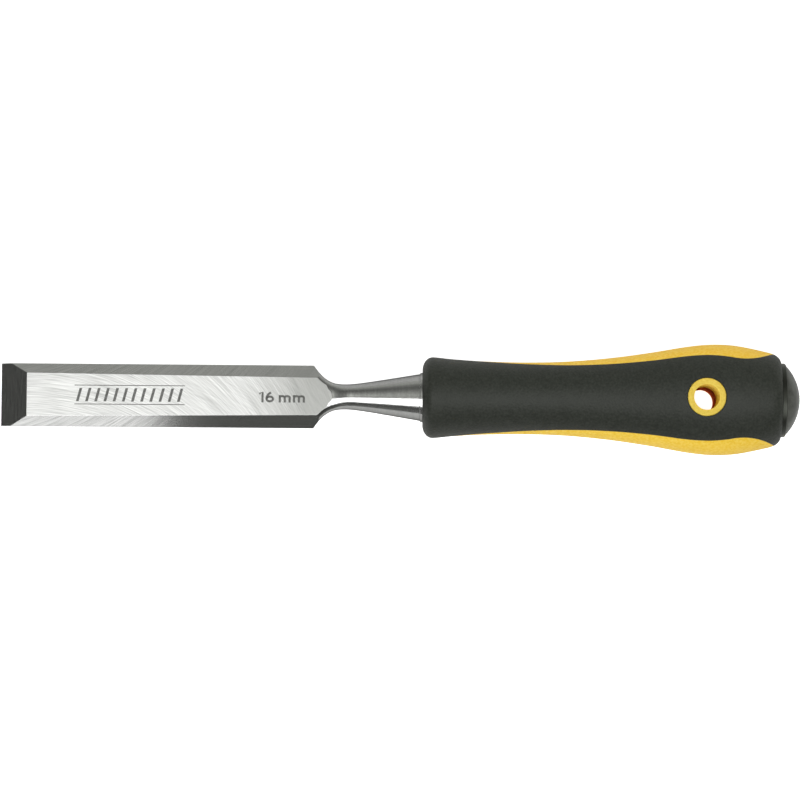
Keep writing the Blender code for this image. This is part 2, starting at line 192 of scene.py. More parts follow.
def tool_placement():
    """The tool's own axes in the frame, from the mount on the blade's back."""
    mounts = {mount["name"]: mount for mount in frame["record"]["mounts"]}
    back = mounts["blade_back"]
    lean = math.atan2(back["axis"][0], -back["axis"][2])
    turn = Matrix.Rotation(-lean, 4, 'Y')
    root = Vector(back["pos_m"]) - turn @ Vector((BACK_MOUNT_X, 0, BLADE_BACK_Z))
    return Matrix.Translation(root) @ turn


TOOL = tool_placement()


# ---------------------------------------------------------------- shape helpers

def smoothstep(t):
    t = min(max(t, 0.0), 1.0)
    return t * t * (3 - 2 * t)


def spread(start, end, count):
    return [start + (end - start) * i / (count - 1) for i in range(count)]


def smooth_curve(points, x):
    """Read a cubic curve that runs smoothly through (x, value) points."""
    xs = [point[0] for point in points]
    values = [point[1] for point in points]
    last = len(points) - 1
    i = 0
    while i < last - 1 and x > xs[i + 1]:
        i += 1

    def slope(k):
        before, after = max(k - 1, 0), min(k + 1, last)
        return (values[after] - values[before]) / (xs[after] - xs[before])

    width = xs[i + 1] - xs[i]
    t = (x - xs[i]) / width
    rise_0 = slope(i) * width
    rise_1 = slope(i + 1) * width
    return ((2 * t ** 3 - 3 * t ** 2 + 1) * values[i] + (t ** 3 - 2 * t ** 2 + t) * rise_0
            + (3 * t ** 2 - 2 * t ** 3) * values[i + 1] + (t ** 3 - t ** 2) * rise_1)


def oval(half_width, half_height, sides, power=2.0):
    """Points of an oval; power 2 is an ellipse and a higher one is boxier."""
    ring = []
    for i in range(sides):
        angle = 2 * math.pi * i / sides
        c, s = math.cos(angle), math.sin(angle)
        y = half_width * math.copysign(abs(c) ** (2 / power), c)
        z = half_height * math.copysign(abs(s) ** (2 / power), s)
        ring.append((y, z))
    return ring


def finish_mesh(name, bm, smooth=True):
    bmesh.ops.recalc_face_normals(bm, faces=bm.faces)
    mesh = bpy.data.meshes.new(name)
    bm.to_mesh(mesh)
    bm.free()
    if smooth:
        mesh.shade_smooth()
    return mesh


def loft(name, stations, section):
    """Skin the closed rings of (y, z) points that section(x) gives at each station."""
    bm = bmesh.new()
    rings = []
    for x in stations:
        rings.append([bm.verts.new((x, y, z)) for y, z in section(x)])
    for near, far in zip(rings, rings[1:]):
        for i in range(len(near)):
            j = (i + 1) % len(near)
            bm.faces.new((near[i], near[j], far[j], far[i]))
    bm.faces.new(rings[0])
    bm.faces.new(rings[-1])
    return finish_mesh(name, bm)


def prism(name, outline, direction):
    """Extrude a flat outline of (x, y, z) points along a direction."""
    bm = bmesh.new()
    face = bm.faces.new([bm.verts.new(point) for point in outline])
    extruded = bmesh.ops.extrude_face_region(bm, geom=[face])
    moved = [item for item in extruded["geom"] if isinstance(item, bmesh.types.BMVert)]
    bmesh.ops.translate(bm, verts=moved, vec=direction)
    return finish_mesh(name, bm, smooth=False)


def place(name, mesh, matrix=None):
    obj = bpy.data.objects.new(name, mesh)
    bpy.context.scene.collection.objects.link(obj)
    obj.matrix_world = TOOL @ (matrix or Matrix())
    return obj


def cut(piece, mesh, operation='DIFFERENCE', matrix=None, material=None):
    """Combine a piece with another mesh; the faces that this one leaves take its material."""
    if material:
        mesh.materials.append(material)
    cutter = place(mesh.name, mesh, matrix)
    modifier = piece.modifiers.new(operation.title(), 'BOOLEAN')
    modifier.solver = 'EXACT'
    modifier.operation = operation
    modifier.object = cutter
    if material:
        modifier.material_mode = 'TRANSFER'
    depsgraph = bpy.context.evaluated_depsgraph_get()
    shape = piece.evaluated_get(depsgraph)
    result = bpy.data.meshes.new_from_object(shape, preserve_all_data_layers=True, depsgraph=depsgraph)
    piece.modifiers.clear()
    result.name = piece.name
    piece.data = result
    bpy.data.objects.remove(cutter, do_unlink=True)


def crease(piece, degrees):
    """Smooth shading that stops at edges sharper than an angle and where the finish changes."""
    bm = bmesh.new()
    bm.from_mesh(piece.data)
    for face in bm.faces:
        face.smooth = True
    for edge in bm.edges:
        finishes = {face.material_index for face in edge.link_faces}
        bend = edge.calc_face_angle(math.pi)
        edge.smooth = len(finishes) == 1 and bend < math.radians(degrees)
    bm.to_mesh(piece.data)
    bm.free()


def turned(name, points, steps, material):
    """Turn a line of (radius, x) points about the tool's axis."""
    mesh = bpy.data.meshes.new(name)
    edges = [(i, i + 1) for i in range(len(points) - 1)]
    mesh.from_pydata([(radius, 0, x) for radius, x in points], edges, [])
    piece = place(name, mesh, Matrix.Rotation(math.pi / 2, 4, 'Y'))
    screw = piece.modifiers.new("Turned", 'SCREW')
    screw.steps = steps
    screw.render_steps = steps
    screw.use_merge_vertices = True
    screw.merge_threshold = TOUCH / 2
    shape = piece.evaluated_get(bpy.context.evaluated_depsgraph_get())
    piece.data = bpy.data.meshes.new_from_object(shape)
    piece.modifiers.clear()
    piece.data.materials.clear()
    piece.data.materials.append(material)
    return piece


# ---------------------------------------------------------------- material nodes

class Nodes:
    """Small helper that adds and links shader nodes in one material."""

    def __init__(self, name):
        self.material = bpy.data.materials.new(name)
        self.material.use_nodes = True
        self.tree = self.material.node_tree
        self.shader = self.tree.nodes["Principled BSDF"]
        self.position = self.in_tool_axes(self.tree.nodes.new("ShaderNodeTexCoord").outputs["Object"])
        self.x, self.y, self.z = self.split(self.position)

    def feed(self, socket, value):
        if isinstance(value, bpy.types.NodeSocket):
            self.tree.links.new(value, socket)
        else:
            socket.default_value = value

    def in_tool_axes(self, vector):
        node = self.tree.nodes.new("ShaderNodeMapping")
        node.vector_type = 'TEXTURE'
        self.feed(node.inputs["Vector"], vector)
        node.inputs["Location"].default_value = TOOL.translation
        node.inputs["Rotation"].default_value = TOOL.to_euler()
        return node.outputs[0]

    def split(self, vector):
        node = self.tree.nodes.new("ShaderNodeSeparateXYZ")
        self.feed(node.inputs[0], vector)
        return node.outputs[0], node.outputs[1], node.outputs[2]

    def combine(self, x, y, z):
        node = self.tree.nodes.new("ShaderNodeCombineXYZ")
        for socket, value in zip(node.inputs, (x, y, z)):
            self.feed(socket, value)
        return node.outputs[0]

    def distance(self, first, second):
        node = self.tree.nodes.new("ShaderNodeVectorMath")
        node.operation = 'DISTANCE'
        self.feed(node.inputs[0], first)
        self.feed(node.inputs[1], second)
        return node.outputs["Value"]

    def math(self, operation, a, b=0.0, c=0.0):
        node = self.tree.nodes.new("ShaderNodeMath")
        node.operation = operation
        for socket, value in zip(node.inputs, (a, b, c)):
            self.feed(socket, value)
        return node.outputs[0]

    def blend(self, *parts):
        """Weighted sum of (pattern, weight) parts."""
        total = None
        for pattern, weight in reversed(parts):
            share = self.math('MULTIPLY', pattern, weight)
            total = share if total is None else self.math('ADD', share, total)
        return total

    def noise(self, vector, scale=1.0, detail=2.0, roughness=0.5):
        node = self.tree.nodes.new("ShaderNodeTexNoise")
        self.feed(node.inputs["Vector"], vector)
        node.inputs["Scale"].default_value = scale
        node.inputs["Detail"].default_value = detail
        node.inputs["Roughness"].default_value = roughness
        return node.outputs[0]

    def between(self, value, low, high, to_low, to_high):
        """Map a range to another one, clamped at both ends."""
        node = self.tree.nodes.new("ShaderNodeMapRange")
        for socket, number in zip(node.inputs, (value, low, high, to_low, to_high)):
            self.feed(socket, number)
        return node.outputs[0]

    def mix(self, factor, first, second):
        node = self.tree.nodes.new("ShaderNodeMix")
        node.data_type = 'RGBA'
        self.feed(node.inputs[0], factor)
        for socket, value in zip(node.inputs[6:8], (first, second)):
            self.feed(socket, value if isinstance(value, bpy.types.NodeSocket) else (*value, 1.0))
        return node.outputs[2]

    def bump(self, height, distance, strength=1.0, under=None):
        node = self.tree.nodes.new("ShaderNodeBump")
        node.inputs["Strength"].default_value = strength
        node.inputs["Distance"].default_value = distance
        self.feed(node.inputs["Height"], height)
        if under:
            self.feed(node.inputs["Normal"], under)
        return node.outputs[0]

    def bevel(self, radius):
        """Shading normal that rounds every edge by a radius."""
        node = self.tree.nodes.new("ShaderNodeBevel")
        node.samples = 4
        node.inputs["Radius"].default_value = radius
        return node.outputs[0]

    def streaks(self, across, along, fine, long, detail=3.0, roughness=0.6):
        """Noise drawn out into streaks: fine and long are its frequencies across and along them."""
        stretched = self.combine(
            self.math('MULTIPLY', across, fine), self.math('MULTIPLY', along, long), 0.0)
        return self.noise(stretched, detail=detail, roughness=roughness)

    def finish(self, colour, roughness, normal=None, metallic=0.0):
        self.feed(self.shader.inputs["Base Color"], colour)
        self.feed(self.shader.inputs["Roughness"], roughness)
        self.shader.inputs["Metallic"].default_value = metallic
        if normal:
            self.feed(self.shader.inputs["Normal"], normal)
        return self.material


# A noise pattern runs from 0 to 1, but nearly all of it lies in these ranges.
MIDDLE = (0.35, 0.65)
WIDE = (0.30, 0.70)

STEEL = (0.40, 0.402, 0.396)
POLISHED_AND_LIT = (0.66, 0.662, 0.657)               # the freshly ground face, towards the tip, made lighter by a painted highlight
SCRATCH = (0.80, 0.80, 0.80)
STEEL_EDGE = (0.30, 0.30, 0.30, 1.0)          # grazing reflection of the oxidised steel
SCRATCHES_FADE_X = (0.078, 0.074)             # from the shoulder towards the tip
SATIN_FADE_X = (0.078, 0.062)
# where the polish and its painted highlight fade in, from the shoulder towards the tip
POLISH_AND_HIGHLIGHT_FADE_X = (0.075, 0.062)
WALL_SHADE_FADE = (0.0022, 0.0004)                  # heights between which the hang hole's wall turns from painted light to a painted red-brown shade
WALL_SHADE_RAGGED = 0.003                           # how unevenly it does


def two_tones(colour, tone):
    """A darker and a lighter shade of a colour."""
    return [tuple(channel * factor for channel in colour) for factor in (1 - tone, 1 + tone)]


def steel(nodes, height, tone, depth, roughness, scratches=None, satin=None, polish_and_highlight=None):
    """Ground steel whose colour, gloss and relief follow one height pattern."""
    grain = nodes.between(height, *MIDDLE, 0.0, 1.0)
    colour = nodes.mix(grain, *two_tones(STEEL, tone))
    # The polished face's colour is lighter: partly a polished finish, partly a painted highlight.
    if polish_and_highlight:
        colour = nodes.mix(polish_and_highlight, colour, nodes.mix(grain, *two_tones(POLISHED_AND_LIT, tone)))
    if scratches:
        colour = nodes.mix(scratches, colour, SCRATCH)
    gloss = nodes.between(height, *WIDE, roughness[1], roughness[0])
    if satin:
        gloss = nodes.math('ADD', gloss, satin)
    normal = nodes.bump(height, depth, under=nodes.bevel(radius=0.00012))
    nodes.shader.inputs["Specular Tint"].default_value = STEEL_EDGE
    return nodes.finish(colour, gloss, normal, metallic=1.0)


def swept(nodes, start_angle, turn_rate, lean):
    """Distance across wheel marks that turn from a start angle as they go along the blade."""
    angle = nodes.math('MULTIPLY_ADD', nodes.x, turn_rate, math.radians(start_angle))
    drop = nodes.math('LOGARITHM', nodes.math('COSINE', angle), math.e)
    return nodes.math('MULTIPLY_ADD', drop, -lean / turn_rate, nodes.y)


def face_steel():
    """Wheel marks that start along the blade and turn steeper towards the shoulder.

    The face is polished up to near the size mark, and the deepest scratches end there; towards the tip it
    is also painted lighter, a painted highlight.
    """
    nodes = Nodes("steel_face")
    across = swept(nodes, start_angle=-6, turn_rate=16.0, lean=1.0)
    shallow = swept(nodes, start_angle=-6, turn_rate=16.0, lean=0.45)
    main = nodes.streaks(across, nodes.x, fine=4000, long=100)
    broad = nodes.streaks(across, nodes.x, fine=1500, long=45)
    crossing = nodes.streaks(shallow, nodes.x, fine=3000, long=90)
    height = nodes.blend((main, 0.60), (broad, 0.15), (crossing, 0.25))
    deep = nodes.streaks(across, nodes.x, fine=3200, long=75, detail=1.0, roughness=0.5)
    ending = nodes.between(nodes.x, *SCRATCHES_FADE_X, 0.0, 1.0)
    scratches = nodes.math('MULTIPLY', nodes.between(deep, 0.61, 0.70, 0.0, 0.9), ending)
    satin = nodes.between(nodes.x, *SATIN_FADE_X, 0.0, 0.16)
    # Lighter towards the tip: partly the polish, partly a painted highlight.
    polish_and_highlight = nodes.between(nodes.x, *POLISH_AND_HIGHLIGHT_FADE_X, 0.14, 1.0)
    return steel(nodes, height, tone=0.32, depth=0.000015, roughness=(0.24, 0.38),
                 scratches=scratches, satin=satin, polish_and_highlight=polish_and_highlight)


def bevel_steel(name):
    """Finer marks that cross each side bevel at a slant."""
    nodes = Nodes(name)
    across = swept(nodes, start_angle=12, turn_rate=10.0, lean=-1.0)
    height = nodes.streaks(across, nodes.x, fine=2600, long=110)
    return steel(nodes, height, tone=0.12, depth=0.000006, roughness=(0.12, 0.20))


def primary_steel():
    """Fine lines across the blade, with specks."""
    nodes = Nodes("steel_primary_bevel")
    lines = nodes.streaks(nodes.x, nodes.y, fine=2400, long=200)
    speck = nodes.noise(nodes.position, scale=2600, detail=3)
    height = nodes.blend((lines, 0.6), (speck, 0.4))
    return steel(nodes, height, tone=0.38, depth=0.000004, roughness=(0.16, 0.26))


def back_steel():
    """Fine lines along the blade."""
    nodes = Nodes("steel_back")
    height = nodes.streaks(nodes.y, nodes.x, fine=2600, long=60)
    return steel(nodes, height, tone=0.10, depth=0.000006, roughness=(0.18, 0.30))


def shank_steel():
    """Fine marks round the neck and bolster."""
    nodes = Nodes("steel_shank")
    mean_radius = 0.004
    round_it = nodes.math('MULTIPLY', nodes.math('ARCTAN2', nodes.z, nodes.y), mean_radius)
    rings = nodes.streaks(nodes.x, round_it, fine=2600, long=260)
    speck = nodes.noise(nodes.position, scale=2200, detail=3)
    height = nodes.blend((rings, 0.6), (speck, 0.4))
    return steel(nodes, height, tone=0.12, depth=0.000014, roughness=(0.12, 0.22))


def rubber():
    """Soft plastic with a fine moulded leather-like grain."""
    nodes = Nodes("soft_rubber")
    cloud = nodes.noise(nodes.position, scale=420, detail=4)
    speck = nodes.noise(nodes.position, scale=1900, detail=4)
    grain = nodes.between(nodes.blend((cloud, 0.22), (speck, 0.78)), 0.38, 0.66, 0.0, 1.0)
    colour = nodes.mix(grain, (0.0232, 0.0268, 0.0205), (0.0415, 0.0462, 0.0372))
    gloss = nodes.between(speck, *WIDE, 0.46, 0.58)
    normal = nodes.bump(speck, distance=0.00012, under=nodes.bevel(radius=0.0003))
    nodes.shader.inputs["Specular IOR Level"].default_value = 0.34
    return nodes.finish(colour, gloss, normal)


def yellow(name, dull, bright, shine, bore_light_and_shade=None):
    """Smooth plastic that varies a little between two tones.

    The last argument has the colours of the painted light on the upper part and of the painted red-brown
    shade on the lower part of the hang hole's wall.
    """
    nodes = Nodes(name)
    cloud = nodes.noise(nodes.position, scale=1500, detail=4)
    grain = nodes.noise(nodes.position, scale=2600)
    colour = nodes.mix(nodes.between(cloud, 0.38, 0.62, 0.0, 1.0), dull, bright)
    # Inside the hang hole the wall takes painted light near its mouth and a painted red-brown shade lower
    # down.
    if bore_light_and_shade:
        upper, lower = bore_light_and_shade
        from_axis = nodes.distance(nodes.position, nodes.combine(HOLE_X, 0.0, nodes.z))
        inside = nodes.between(from_axis, HOLE_RADIUS + 0.0002, HOLE_RADIUS + 0.0001, 0.0, 1.0)
        ragged = nodes.noise(nodes.position, scale=900, detail=3)
        height = nodes.math('MULTIPLY_ADD', ragged, WALL_SHADE_RAGGED, nodes.z)
        deep = nodes.math('MULTIPLY', nodes.between(height, *WALL_SHADE_FADE, 0.0, 1.0), inside)
        colour = nodes.mix(deep, nodes.mix(inside, colour, upper), lower)
    gloss = nodes.between(grain, *WIDE, 0.42, 0.54)
    normal = nodes.bump(grain, distance=0.00003, under=nodes.bevel(radius=0.0002))
    nodes.shader.inputs["Specular IOR Level"].default_value = shine
    return nodes.finish(colour, gloss, normal)


def cap_steel():
    """Dark steel with fine turning marks, and painted shade that darkens the flange's side."""
    nodes = Nodes("dark_cap_steel")
    from_edge = nodes.math('SQRT', nodes.math('ADD', nodes.math('MULTIPLY', nodes.x, nodes.x),
                                              nodes.math('MULTIPLY', nodes.y, nodes.y)))
    rings = nodes.noise(nodes.combine(nodes.math('MULTIPLY', from_edge, 4200), 0.0, 0.0), detail=3)
    stain = nodes.between(nodes.noise(nodes.position, scale=420, detail=4), *MIDDLE, 0.0, 1.0)
    dome = nodes.mix(stain, (0.058, 0.061, 0.052), (0.098, 0.102, 0.090))
    # Painted shade: the flange's side takes a darker colour than the dome.
    rim = nodes.between(nodes.x, FLANGE_TOP_X - 0.0003, FLANGE_TOP_X - 0.0001, 0.0, 1.0)
    colour = nodes.mix(rim, (0.040, 0.043, 0.036), dome)
    gloss = nodes.between(rings, *WIDE, 0.30, 0.42)
    normal = nodes.bump(rings, distance=0.000008, under=nodes.bevel(radius=0.0001))
    return nodes.finish(colour, gloss, normal, metallic=0.85)


def mark_ink():
    """Dull dark etching, a little patchy."""
    nodes = Nodes("etched_mark")
    patch = nodes.noise(nodes.position, scale=1800, detail=3)
    colour = nodes.mix(nodes.between(patch, *MIDDLE, 0.0, 1.0), (0.10, 0.10, 0.095), (0.17, 0.17, 0.165))
    return nodes.finish(colour, nodes.between(patch, *WIDE, 0.45, 0.6), metallic=0.6)


# ---------------------------------------------------------------- blade

def shank_half_width(x):
    """Half width of the shank: a flare behind the shoulder, the neck, then the bolster's cone."""
    if x < NECK_X:
        reach = (NECK_X - x) / (NECK_X - SHOULDER_X)
        flare = NECK_RADIUS + (BLADE_HALF - NECK_RADIUS) * reach ** FLARE_POWER
        return min(flare, BLADE_HALF - TOUCH)
    along = x - NECK_X
    cone = NECK_RADIUS + BOLSTER_SLOPE * (math.hypot(along, BOLSTER_EASE) - BOLSTER_EASE)
    if x > BOLSTER_END_X - LIP_LENGTH:
        cone += LIP_HEIGHT
    return cone


def shank_section(x):
    half_width = shank_half_width(x)
    t = smoothstep((x - FACET_END_X) / (NECK_ROUND_X - FACET_END_X))
    half_height = FLARE_HALF_HEIGHT + (half_width - FLARE_HALF_HEIGHT) * t
    squareness = min(max((FACET_END_X - x) / (FACET_END_X - SHOULDER_X), 0.0), 1.0)
    return oval(half_width, half_height, SHANK_SIDES, 2.0 + FLARE_BOXINESS * squareness)


def grinding_outline():
    """Plan of a ground face: wider than the blade, closing to a rounded point on the neck."""
    centre_x = FACET_END_X - FACET_TIP_RADIUS
    outline = [(-REACH, -REACH, 0), (SHOULDER_X, -REACH / 2, 0)]
    for degrees in range(-60, 61, 5):
        angle = math.radians(degrees)
        x = centre_x + FACET_TIP_RADIUS * math.cos(angle)
        outline.append((x, FACET_TIP_RADIUS * math.sin(angle), 0))
    outline += [(SHOULDER_X, REACH / 2, 0), (-REACH, REACH, 0)]
    return outline


def side_outline(side):
    """Section across the blade of what one side bevel takes away; side is +1 or -1."""
    outward, inward = 0.002, 0.006
    slope = math.tan(SIDE_BEVEL_ANGLE)
    land_top = BLADE_BACK_Z + SIDE_LAND
    return [
        (-REACH, side * (BLADE_HALF + outward), land_top - outward * slope),
        (-REACH, side * (BLADE_HALF - inward), land_top + inward * slope),
        (-REACH, side * (BLADE_HALF + outward), land_top + inward * slope),
    ]


def bar_mesh():
    bm = bmesh.new()
    bmesh.ops.create_cube(bm, size=1.0)
    bmesh.ops.scale(bm, verts=bm.verts, vec=(SHOULDER_X - BAR_START_X, BLADE_WIDTH, BAR_HEIGHT))
    bmesh.ops.translate(bm, verts=bm.verts, vec=((SHOULDER_X + BAR_START_X) / 2, 0, 0))
    return finish_mesh("blade_forging", bm)


def shank_mesh():
    lip_start = BOLSTER_END_X - LIP_LENGTH
    flare = spread(SHOULDER_X, NECK_X, FLARE_STATIONS)
    cone = spread(NECK_X, lip_start, CONE_STATIONS)[1:]
    lip = [lip_start + LIP_RISE, BOLSTER_END_X, HANDLE_FRONT_X - TOUCH]
    return loft("shank", [SHOULDER_X - OVERLAP] + flare + cone + lip, shank_section)


def tang_mesh(length):
    """Square taper along Z, about its own middle."""
    bm = bmesh.new()
    bmesh.ops.create_cone(
        bm, cap_ends=True, segments=4, depth=length,
        radius1=TANG_START_HALF * math.sqrt(2), radius2=TANG_END_HALF * math.sqrt(2))
    bmesh.ops.rotate(bm, verts=bm.verts, matrix=Matrix.Rotation(math.radians(45), 3, 'Z'))
    return finish_mesh("tang", bm)


def primary_mesh():
    """The wedge above the cutting bevel."""
    slope = math.tan(PRIMARY_BEVEL_ANGLE)
    wedge = [
        (EDGE_X - REACH, -REACH, BLADE_BACK_Z - REACH * slope),
        (EDGE_X + REACH, -REACH, BLADE_BACK_Z + REACH * slope),
        (EDGE_X - REACH, -REACH, BLADE_BACK_Z + REACH * slope),
    ]
    return prism("primary_grind", wedge, (0, 2 * REACH, 0))


def make_blade():
    """One forging: a bar and a lofted shank, cut by the same grinding passes as the real one."""
    blade = place("blade_forging", bar_mesh())
    side_steel = back_steel()
    blade.data.materials.append(side_steel)
    cut(blade, shank_mesh(), 'UNION', material=shank_steel())

    length = TANG_END_X - TANG_START_X
    to_axis = Matrix.Translation((TANG_START_X + length / 2, 0, 0)) @ Matrix.Rotation(math.pi / 2, 4, 'Y')
    cut(blade, tang_mesh(length), 'UNION', to_axis, side_steel)

    face_z = BLADE_BACK_Z + TIP_THICKNESS
    lift = Matrix.Translation((0, 0, face_z)) @ Matrix.Rotation(-FACE_TAPER, 4, 'Y')
    cut(blade, prism("face_grind", grinding_outline(), (0, 0, REACH)), matrix=lift, material=face_steel())

    under = [(x, -y, z) for x, y, z in grinding_outline()]
    drop = Matrix.Translation((0, 0, BLADE_BACK_Z))
    cut(blade, prism("back_grind", under, (0, 0, -REACH)), matrix=drop, material=side_steel)

    along = (REACH + FACET_END_X - OVERLAP, 0, 0)
    for side, name in ((1, "steel_bevel_left"), (-1, "steel_bevel_right")):
        cut(blade, prism(name, side_outline(side), along), material=bevel_steel(name))

    cut(blade, primary_mesh(), material=primary_steel())
    crease(blade, 22)
    return blade


# ---------------------------------------------------------------- handle

def end_rounding(distance, size):
    """How far a rounded end lies inside the handle's side, at a distance from that end."""
    length, depth = size
    along = min(max(1 - distance / length, 0.0), 1.0)
    return depth * (1 - math.sqrt(1 - along * along))


def handle_half_sizes(x, inset=0.0):
    """Half width and half depth of the handle at x, moved inwards by inset."""
    width = smooth_curve(HALF_WIDTHS, x)
    depth = width * smooth_curve(DEPTH_RATIOS, x)
    rounding = end_rounding(x - HANDLE_FRONT_X, FRONT_ROUND) + end_rounding(HANDLE_END_X - x, BUTT_ROUND)
    return width - rounding - inset, depth - rounding - inset


def handle_mesh(name, inset=0.0):
    """Outer shape of the whole handle, moved inwards by inset."""
    turn = [math.radians(degrees) for degrees in range(0, 81, 8)]
    front = [HANDLE_FRONT_X + FRONT_ROUND[0] * (1 - math.cos(angle)) for angle in turn]
    middle = spread(HANDLE_FRONT_X + FRONT_ROUND[0], HANDLE_END_X - BUTT_ROUND[0], HANDLE_STATIONS)
    butt = [HANDLE_END_X - BUTT_ROUND[0] * (1 - math.cos(angle)) for angle in reversed(turn)]
    return loft(name, front + middle + butt, lambda x: oval(*handle_half_sizes(x, inset), HANDLE_SIDES))


def inner_mesh(name, clearance):
    """The moulding under the soft grip, grown by a clearance."""
    stations = spread(CORE_FRONT_X, CORE_END_X, CORE_STATIONS)
    stations[0] -= clearance
    stations[-1] += clearance + (CAVITY_OVERRUN if clearance else 0.0)
    inset = GRIP_THICKNESS + SEAM - clearance
    return loft(name, stations, lambda x: oval(*handle_half_sizes(x, inset), CORE_SIDES))


def window_half_height(x):
    """Half height of a side window at x: a leaf, pointed in front and round behind."""
    if x < WINDOW_WIDEST_X:
        along = (x - WINDOW_FRONT_X) / (WINDOW_WIDEST_X - WINDOW_FRONT_X)
        return WINDOW_HALF_HEIGHT * max(along, 0.0) ** WINDOW_POWER
    along = (x - WINDOW_WIDEST_X) / (WINDOW_END_X - WINDOW_WIDEST_X)
    return WINDOW_HALF_HEIGHT * math.sqrt(max(1 - along * along, 0.0))


def window_mesh(name, clearance):
    """Both side windows as one slab across the handle, grown by a clearance."""
    crowding = 1.6                                # sets the points closer together at the front
    front_length = WINDOW_WIDEST_X - WINDOW_FRONT_X
    front = [WINDOW_FRONT_X + front_length * (i / WINDOW_STEPS) ** crowding for i in range(WINDOW_STEPS)]
    back_length = WINDOW_END_X - WINDOW_WIDEST_X
    back = [WINDOW_WIDEST_X + back_length * math.sin(math.radians(angle)) for angle in range(0, 91, 3)]
    upper = [(x, window_half_height(x) + clearance) for x in front + back]
    upper[0] = (WINDOW_FRONT_X - clearance, clearance + TOUCH)
    upper[-1] = (WINDOW_END_X + clearance, clearance + TOUCH)
    outline = [(x, -REACH, z) for x, z in upper] + [(x, -REACH, -z) for x, z in reversed(upper)]
    return prism(name, outline, (0, 2 * REACH, 0))


def upright_cylinder(name, radius):
    bm = bmesh.new()
    bmesh.ops.create_cone(
        bm, cap_ends=True, segments=HOLE_SIDES, radius1=radius, radius2=radius, depth=2 * REACH)
    bmesh.ops.translate(bm, verts=bm.verts, vec=(HOLE_X, 0, 0))
    return finish_mesh(name, bm)


def make_core(material):
    """Hard plastic: the body under the grip and the two side pads that fill its windows."""
    core = place("core_moulding", window_mesh("core_moulding", 0.0))
    core.data.materials.append(material)
    cut(core, handle_mesh("pad_shape", inset=PAD_INSET), 'INTERSECT')
    cut(core, inner_mesh("core_body", 0.0), 'UNION')
    cut(core, upright_cylinder("sleeve_seat", BOSS_RADIUS - SLEEVE_BITE))
    crease(core, 35)
    return core


def make_grip(material):
    """Soft overmould: front collar, upper and lower panels, and the rim around the butt."""
    grip = place("grip_overmould", handle_mesh("grip_overmould"))
    grip.data.materials.append(material)
    cut(grip, inner_mesh("grip_cavity", SEAM))
    cut(grip, window_mesh("grip_windows", SEAM))
    cut(grip, upright_cylinder("ring_clearance", BOSS_RADIUS + SEAM))
    crease(grip, 35)
    return grip


def surface_height(x, y):
    """Half depth of the handle's surface at (x, y)."""
    half_width, half_depth = handle_half_sizes(x)
    return half_depth * math.sqrt(max(1 - (y / half_width) ** 2, 0.0))


def sleeve_profile():
    """Section of the sleeve as (radius, part of the surface's height, rise over it) points."""
    mid_radius = (BOSS_RADIUS + HOLE_RADIUS) / 2
    half_bead = (BOSS_RADIUS - HOLE_RADIUS) / 2
    bead = []
    for i in range(BEAD_STEPS + 1):
        angle = math.pi * i / BEAD_STEPS
        radius = mid_radius + half_bead * math.cos(angle)
        bead.append((radius, 1, BEAD_RISE - BEAD_DROP * (1 - math.sqrt(math.sin(angle)))))
    wall = [(HOLE_RADIUS, 1 - 2 * i / WALL_STEPS, BEAD_RISE - BEAD_DROP) for i in range(1, WALL_STEPS)]
    lower = [(radius, -1, rise) for radius, _, rise in reversed(bead)]
    outer = [(BOSS_RADIUS, part, -SLEEVE_SINK) for part in (-SLEEVE_STRAIGHT, SLEEVE_STRAIGHT)]
    return bead + wall + lower + outer


def make_sleeve(material):
    """The core's boss: a rounded ring on each face of the handle, joined by the hole's wall."""
    profile = sleeve_profile()
    bm = bmesh.new()
    rings = []
    for i in range(RING_SIDES):
        angle = 2 * math.pi * i / RING_SIDES
        ring = []
        for radius, part, rise in profile:
            x = HOLE_X + radius * math.cos(angle)
            y = radius * math.sin(angle)
            ring.append(bm.verts.new((x, y, part * (surface_height(x, y) + rise))))
        rings.append(ring)
    for i in range(RING_SIDES):
        near, far = rings[i], rings[(i + 1) % RING_SIDES]
        for k in range(len(profile)):
            m = (k + 1) % len(profile)
            bm.faces.new((near[k], far[k], far[m], near[m]))
    sleeve = place("hole_sleeve", finish_mesh("hole_sleeve", bm))
    sleeve.data.materials.append(material)
    crease(sleeve, 50)
    return sleeve


# ---------------------------------------------------------------- strike cap

def make_cap(material):
    """Turned cap: stem, flange with broken edges, a fine step and the dome."""
    rise = DOME_APEX_X - FLANGE_TOP_X - DOME_STEP
    dome_radius = (DOME_BASE_RADIUS ** 2 + rise ** 2) / (2 * rise)
    centre_x = DOME_APEX_X - dome_radius
    half_angle = math.asin(DOME_BASE_RADIUS / dome_radius)
    points = []
    for i in range(DOME_STEPS + 1):
        angle = half_angle * i / DOME_STEPS
        points.append((dome_radius * math.sin(angle), centre_x + dome_radius * math.cos(angle)))
    points += [
        (DOME_BASE_RADIUS, FLANGE_TOP_X),
        (FLANGE_RADIUS - FLANGE_CHAMFER, FLANGE_TOP_X),
        (FLANGE_RADIUS, FLANGE_TOP_X - FLANGE_CHAMFER),
        (FLANGE_RADIUS, HANDLE_END_X + 2 * TOUCH),
        (FLANGE_RADIUS - TOUCH, HANDLE_END_X + TOUCH),
        (STEM_RADIUS, HANDLE_END_X + TOUCH),
        (STEM_RADIUS, STEM_END_X),
        (0, STEM_END_X),
    ]
    cap = turned("cap_turning", points, CAP_SIDES, material)
    crease(cap, 28)
    return cap


# ---------------------------------------------------------------- marks on the blade

def on_face(x, y, height):
    """A point over the blade's ground face, in the tool's axes."""
    along = x / math.cos(FACE_TAPER)
    return Vector((x, y, BLADE_BACK_Z + TIP_THICKNESS + along * math.sin(FACE_TAPER) + height))


